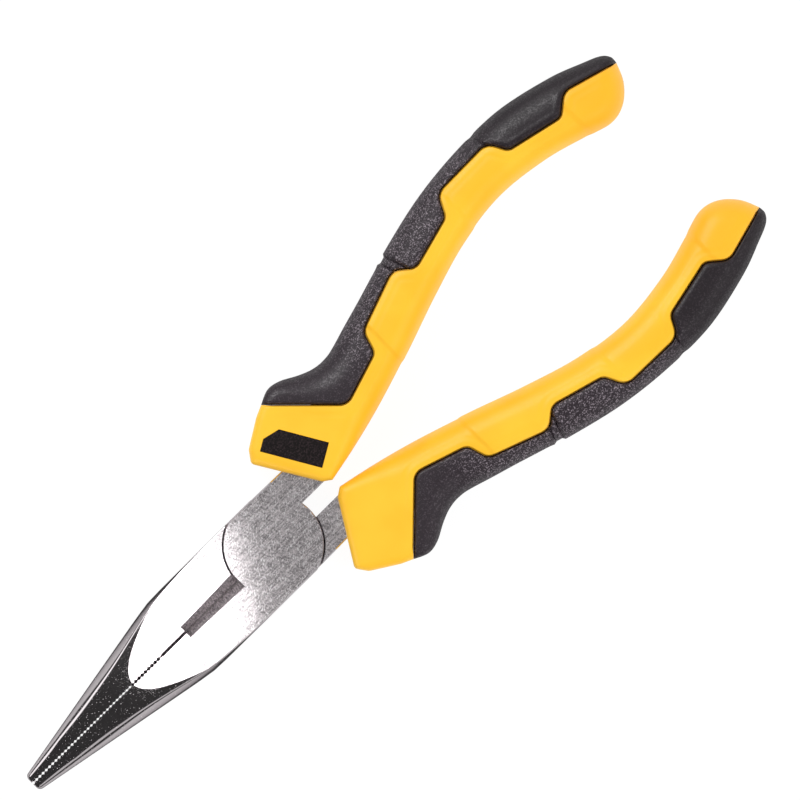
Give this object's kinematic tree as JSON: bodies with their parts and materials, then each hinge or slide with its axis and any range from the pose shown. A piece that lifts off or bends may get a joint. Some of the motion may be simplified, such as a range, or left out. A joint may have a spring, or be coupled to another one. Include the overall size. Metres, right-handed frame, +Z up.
{
  "type": "needle nose pliers",
  "caption": "Long nose pliers with side cutter: two forged levers crossed in a lap joint on a flush rivet, with two-part moulded grips.",
  "frame": {"origin": "on the pivot axis, at the head's lower flat", "axes": "+X towards the nose tip, +Y to lever A's jaw side, +Z up along the rivet"},
  "size_m": [0.159, 0.0526, 0.0131],
  "materials": {
    "forged_steel": "ground flats with fine lengthwise grain, polished nose",
    "rivet_steel": "ground flush with the head",
    "yellow_grip": "satin moulded yellow",
    "charcoal_grip": "fine pebble grain",
    "badge": "blank dark inlay"
  },
  "bodies": {
    "lever_a": {"jaw_lever_a": "forged_steel", "pivot_rivet": "rivet_steel", "grip_core_a": "yellow_grip", "grip_overmould_a": "charcoal_grip", "badge_inlay_a": "badge"},
    "lever_b": {"jaw_lever_b": "forged_steel", "grip_core_b": "yellow_grip", "grip_overmould_b": "charcoal_grip", "badge_inlay_b": "badge"}
  },
  "joints": [
    {"name": "pivot", "type": "hinge", "parent": "lever_a", "child": "lever_b", "pos_m": [0, 0, 0], "axis": [0, 0, -1], "range_deg": [0, 45]}
  ]
}
